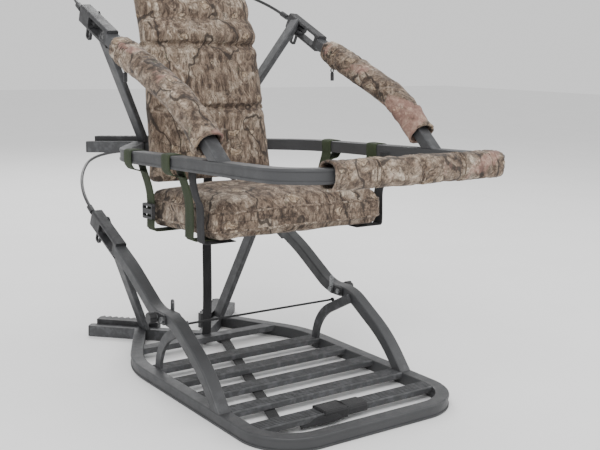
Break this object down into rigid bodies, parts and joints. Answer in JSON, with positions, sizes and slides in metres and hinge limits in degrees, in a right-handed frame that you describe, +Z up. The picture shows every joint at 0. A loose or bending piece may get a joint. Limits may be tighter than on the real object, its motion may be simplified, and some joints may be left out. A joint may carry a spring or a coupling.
{
  "type": "climbing tree stand",
  "caption": "Two-piece climbing tree stand: slatted foot platform and padded sling seat with arm rests, each with a toothed tree bracket and a cable loop.",
  "frame": {"origin": "on the floor under the middle of the footprint, cables left out", "axes": "+X to the right as seen from the front, +Y toward the tree, +Z up"},
  "size_m": [0.6298, 1.2663, 0.9684],
  "materials": {
    "frame_paint": "matte powder coat, fine texture",
    "black_aluminium": "matte black coated",
    "black_steel": "satin black",
    "zinc_steel": "dull zinc plate",
    "black_plastic": "moulded, matte",
    "cable_jacket": "smooth black jacket on wire rope",
    "camo_fabric": null,
    "green_webbing": "ribbed flat webbing",
    "black_webbing": "ribbed flat webbing"
  },
  "bodies": {
    "platform": {"platform_rail": "frame_paint", "platform_v_bracket": "frame_paint", "platform_bracket_caps": "black_plastic", "platform_blades": "black_aluminium", "platform_crossbar": "frame_paint", "joint_plates": "frame_paint", "joint_bolts": "zinc_steel", "joint_knobs": "black_plastic", "cord_eyes": "zinc_steel", "cross_cord": "black_webbing", "under_strap": "black_webbing", "strap_anchor": "black_plastic", "foot_strap": "black_webbing", "lower_cable": "cable_jacket", "lower_cable_stops": "zinc_steel", "slat_1": "frame_paint", "slat_2": "frame_paint", "slat_3": "frame_paint", "slat_4": "frame_paint", "slat_5": "frame_paint", "arch_right": "frame_paint", "arch_left": "frame_paint", "hoop_right": "frame_paint", "hoop_left": "frame_paint", "lower_arm_right": "frame_paint", "lower_arm_left": "frame_paint", "lower_pocket_right": "frame_paint", "lower_pocket_left": "frame_paint", "lower_strut_right": "frame_paint", "lower_strut_left": "frame_paint", "tether_strap": "black_webbing"},
    "seat": {"seat_rail": "frame_paint", "seat_v_bracket": "frame_paint", "seat_bracket_caps": "black_plastic", "seat_blades": "black_aluminium", "front_pad": "camo_fabric", "seat_cushion": "camo_fabric", "seat_back": "camo_fabric", "strap_buckles": "black_plastic", "upper_arm_right": "frame_paint", "upper_arm_left": "frame_paint", "upper_pocket_right": "frame_paint", "upper_pocket_left": "frame_paint", "upper_strut_right": "frame_paint", "upper_strut_left": "frame_paint", "arm_pad_right": "camo_fabric", "arm_pad_left": "camo_fabric", "seat_strap_front_right": "green_webbing", "seat_strap_front_left": "green_webbing", "seat_strap_rear_right": "green_webbing", "seat_strap_rear_left": "green_webbing", "upper_cable": "cable_jacket", "upper_cable_stops": "zinc_steel"},
    "lower_plunger_left": {"lower_plunger_left": "black_steel"},
    "lower_plunger_right": {"lower_plunger_right": "black_steel"},
    "upper_plunger_left": {"upper_plunger_left": "black_steel"},
    "upper_plunger_right": {"upper_plunger_right": "black_steel"},
    "zipper_pull_left": {"zipper_pull_left": "black_steel"},
    "zipper_pull_right": {"zipper_pull_right": "black_steel"}
  },
  "joints": [
    {"name": "seat_slide", "type": "slide", "parent": "platform", "child": "seat", "axis": [0, 0, 1], "range_m": [0, 0.3], "deforming": ["tether_strap"]},
    {"name": "lower_plunger_left_pull", "type": "slide", "parent": "platform", "child": "lower_plunger_left", "axis": [0, 0.402, -0.9156], "range_m": [0, 0.008], "stiffness_N_per_m": 600, "springref_m": -0.006},
    {"name": "upper_plunger_left_pull", "type": "slide", "parent": "seat", "child": "upper_plunger_left", "axis": [0.0594, 0.4067, -0.9116], "range_m": [0, 0.008], "stiffness_N_per_m": 600, "springref_m": -0.006},
    {"name": "zipper_pull_left_swing", "type": "hinge", "parent": "seat", "child": "zipper_pull_left", "pos_m": [-0.28159, 0.13779, 0.69681], "axis": [1, 0, 0], "range_deg": [-50, 50]},
    {"name": "lower_plunger_right_pull", "type": "slide", "parent": "platform", "child": "lower_plunger_right", "axis": [0, 0.402, -0.9156], "range_m": [0, 0.008], "stiffness_N_per_m": 600, "springref_m": -0.006},
    {"name": "upper_plunger_right_pull", "type": "slide", "parent": "seat", "child": "upper_plunger_right", "axis": [-0.0594, 0.4067, -0.9116], "range_m": [0, 0.008], "stiffness_N_per_m": 600, "springref_m": -0.006},
    {"name": "zipper_pull_right_swing", "type": "hinge", "parent": "seat", "child": "zipper_pull_right", "pos_m": [0.28159, 0.13779, 0.69681], "axis": [1, 0, 0], "range_deg": [-50, 50]}
  ]
}
